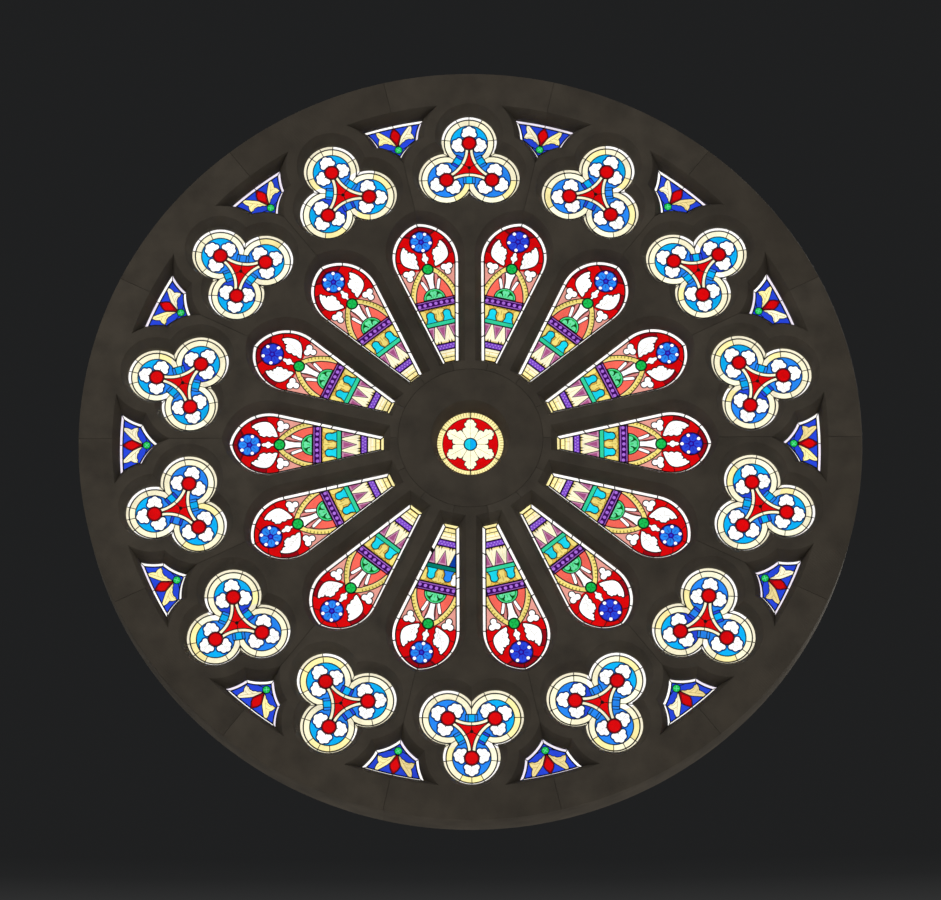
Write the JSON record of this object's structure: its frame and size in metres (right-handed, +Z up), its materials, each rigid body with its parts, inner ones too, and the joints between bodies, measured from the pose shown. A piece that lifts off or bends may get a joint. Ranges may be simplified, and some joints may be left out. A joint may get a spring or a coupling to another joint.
{
  "type": "gothic rose window with stained glass",
  "caption": "Round pierced limestone wheel window with petals, trefoils, spandrels and a centre roundel, each filled with a leaded stained glass panel.",
  "frame": {"origin": "middle of the flat bed under the rim, at mid thickness; the window's centre is straight above it", "axes": "+Z up, +Y through the window towards the weather side, +X to the right as seen from inside"},
  "size_m": [5.4062, 0.3, 5.4008],
  "materials": {
    "limestone": "matt, dressed and lightly weathered limestone",
    "roundel_glass": "leaded antique glass in yellow, white, red and cyan, with traced paint",
    "trefoil_glass": "leaded antique glass in sky blue, cream, white and red, with traced paint",
    "petal_glass": "leaded antique glass in red, white, blue, yellow, purple and green, with traced paint",
    "spandrel_glass": "leaded antique glass in royal blue, cream, red and green, with traced paint"
  },
  "bodies": {
    "root": {"hub_stone": "limestone", "roundel_glazing": "roundel_glass", "tracery_stone_01": "limestone", "trefoil_glazing_01": "trefoil_glass", "petal_glazing_01": "petal_glass", "spandrel_glazing_01": "spandrel_glass", "tracery_stone_02": "limestone", "trefoil_glazing_02": "trefoil_glass", "petal_glazing_02": "petal_glass", "spandrel_glazing_02": "spandrel_glass", "tracery_stone_03": "limestone", "trefoil_glazing_03": "trefoil_glass", "petal_glazing_03": "petal_glass", "spandrel_glazing_03": "spandrel_glass", "tracery_stone_04": "limestone", "trefoil_glazing_04": "trefoil_glass", "petal_glazing_04": "petal_glass", "spandrel_glazing_04": "spandrel_glass", "tracery_stone_05": "limestone", "trefoil_glazing_05": "trefoil_glass", "petal_glazing_05": "petal_glass", "spandrel_glazing_05": "spandrel_glass", "tracery_stone_06": "limestone", "trefoil_glazing_06": "trefoil_glass", "petal_glazing_06": "petal_glass", "spandrel_glazing_06": "spandrel_glass", "tracery_stone_07": "limestone", "trefoil_glazing_07": "trefoil_glass", "petal_glazing_07": "petal_glass", "spandrel_glazing_07": "spandrel_glass", "tracery_stone_08": "limestone", "trefoil_glazing_08": "trefoil_glass", "petal_glazing_08": "petal_glass", "spandrel_glazing_08": "spandrel_glass", "tracery_stone_09": "limestone", "trefoil_glazing_09": "trefoil_glass", "petal_glazing_09": "petal_glass", "spandrel_glazing_09": "spandrel_glass", "tracery_stone_10": "limestone", "trefoil_glazing_10": "trefoil_glass", "petal_glazing_10": "petal_glass", "spandrel_glazing_10": "spandrel_glass", "tracery_stone_11": "limestone", "trefoil_glazing_11": "trefoil_glass", "petal_glazing_11": "petal_glass", "spandrel_glazing_11": "spandrel_glass", "tracery_stone_12": "limestone", "trefoil_glazing_12": "trefoil_glass", "petal_glazing_12": "petal_glass", "spandrel_glazing_12": "spandrel_glass", "tracery_stone_13": "limestone", "trefoil_glazing_13": "trefoil_glass", "petal_glazing_13": "petal_glass", "spandrel_glazing_13": "spandrel_glass", "tracery_stone_14": "limestone", "trefoil_glazing_14": "trefoil_glass", "petal_glazing_14": "petal_glass", "spandrel_glazing_14": "spandrel_glass"}
  },
  "joints": []
}
